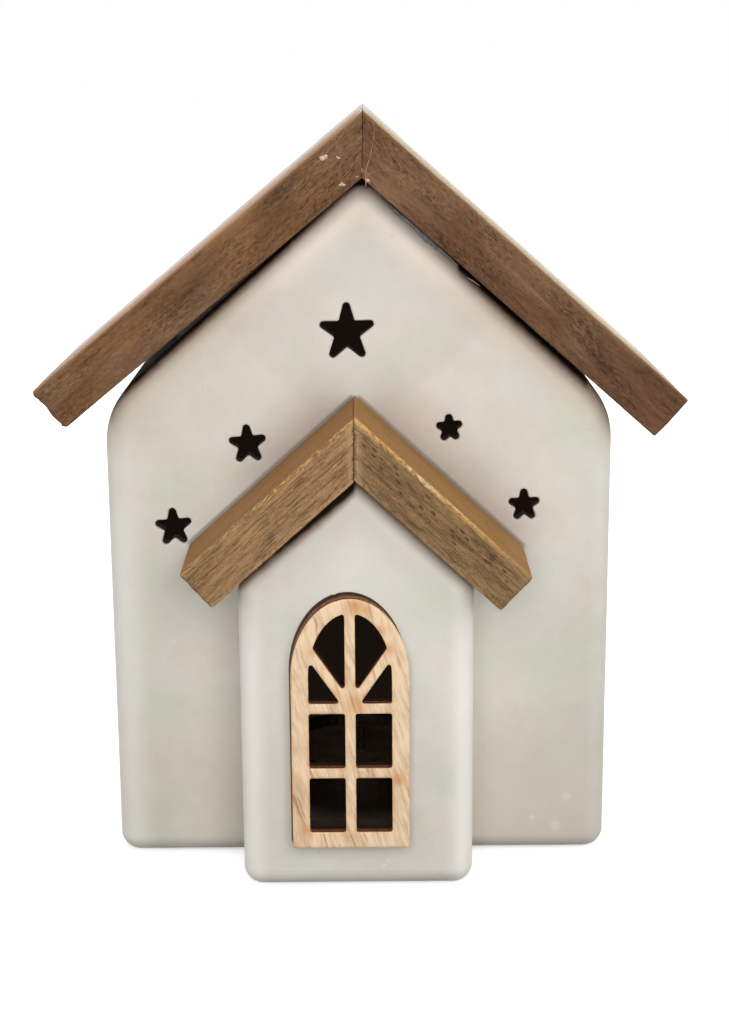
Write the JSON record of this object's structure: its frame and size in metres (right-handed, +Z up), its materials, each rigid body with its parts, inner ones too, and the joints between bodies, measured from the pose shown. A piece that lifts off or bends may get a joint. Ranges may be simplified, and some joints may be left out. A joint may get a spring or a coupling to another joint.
{
  "type": "tealight house",
  "caption": "Gabled white ceramic house with star cut-outs, an arched lattice window in a porch and wooden roof boards, which lifts off the tealight that it covers.",
  "frame": {"origin": "on the surface the house stands on, at the middle of the bounding box in plan", "axes": "+X to the right of someone facing the window, +Y from the window to the back, +Z up"},
  "size_m": [0.1353, 0.0856, 0.1622],
  "materials": {
    "white_ceramic": "satin glaze",
    "stained_wood": "brown stain, sawn",
    "porch_wood": "light brown stain, sawn",
    "plywood": "laser-cut, unvarnished",
    "hot_melt_glue": "translucent",
    "foil": "pressed foil",
    "tinplate": "plain",
    "wick_cotton": "waxed cotton",
    "wax": "paraffin wax"
  },
  "bodies": {
    "tealight": {"tealight_cup": "foil", "wick_sustainer": "tinplate", "tealight_wick": "wick_cotton", "tealight_wax": "wax"},
    "house": {"house_body": "white_ceramic", "main_roof_board_left": "stained_wood", "main_roof_board_right": "stained_wood", "main_roof_glue_left": "hot_melt_glue", "main_roof_glue_right": "hot_melt_glue", "main_mitre_glue": "hot_melt_glue", "porch_roof_board_left": "porch_wood", "porch_roof_board_right": "porch_wood", "porch_roof_glue_left": "hot_melt_glue", "porch_roof_glue_right": "hot_melt_glue", "porch_mitre_glue": "hot_melt_glue", "window_frame": "plywood", "window_glue": "hot_melt_glue"}
  },
  "joints": [
    {"name": "house_lift", "type": "slide", "parent": "tealight", "child": "house", "axis": [0, 0, 1], "range_m": [0, 0.03]}
  ]
}
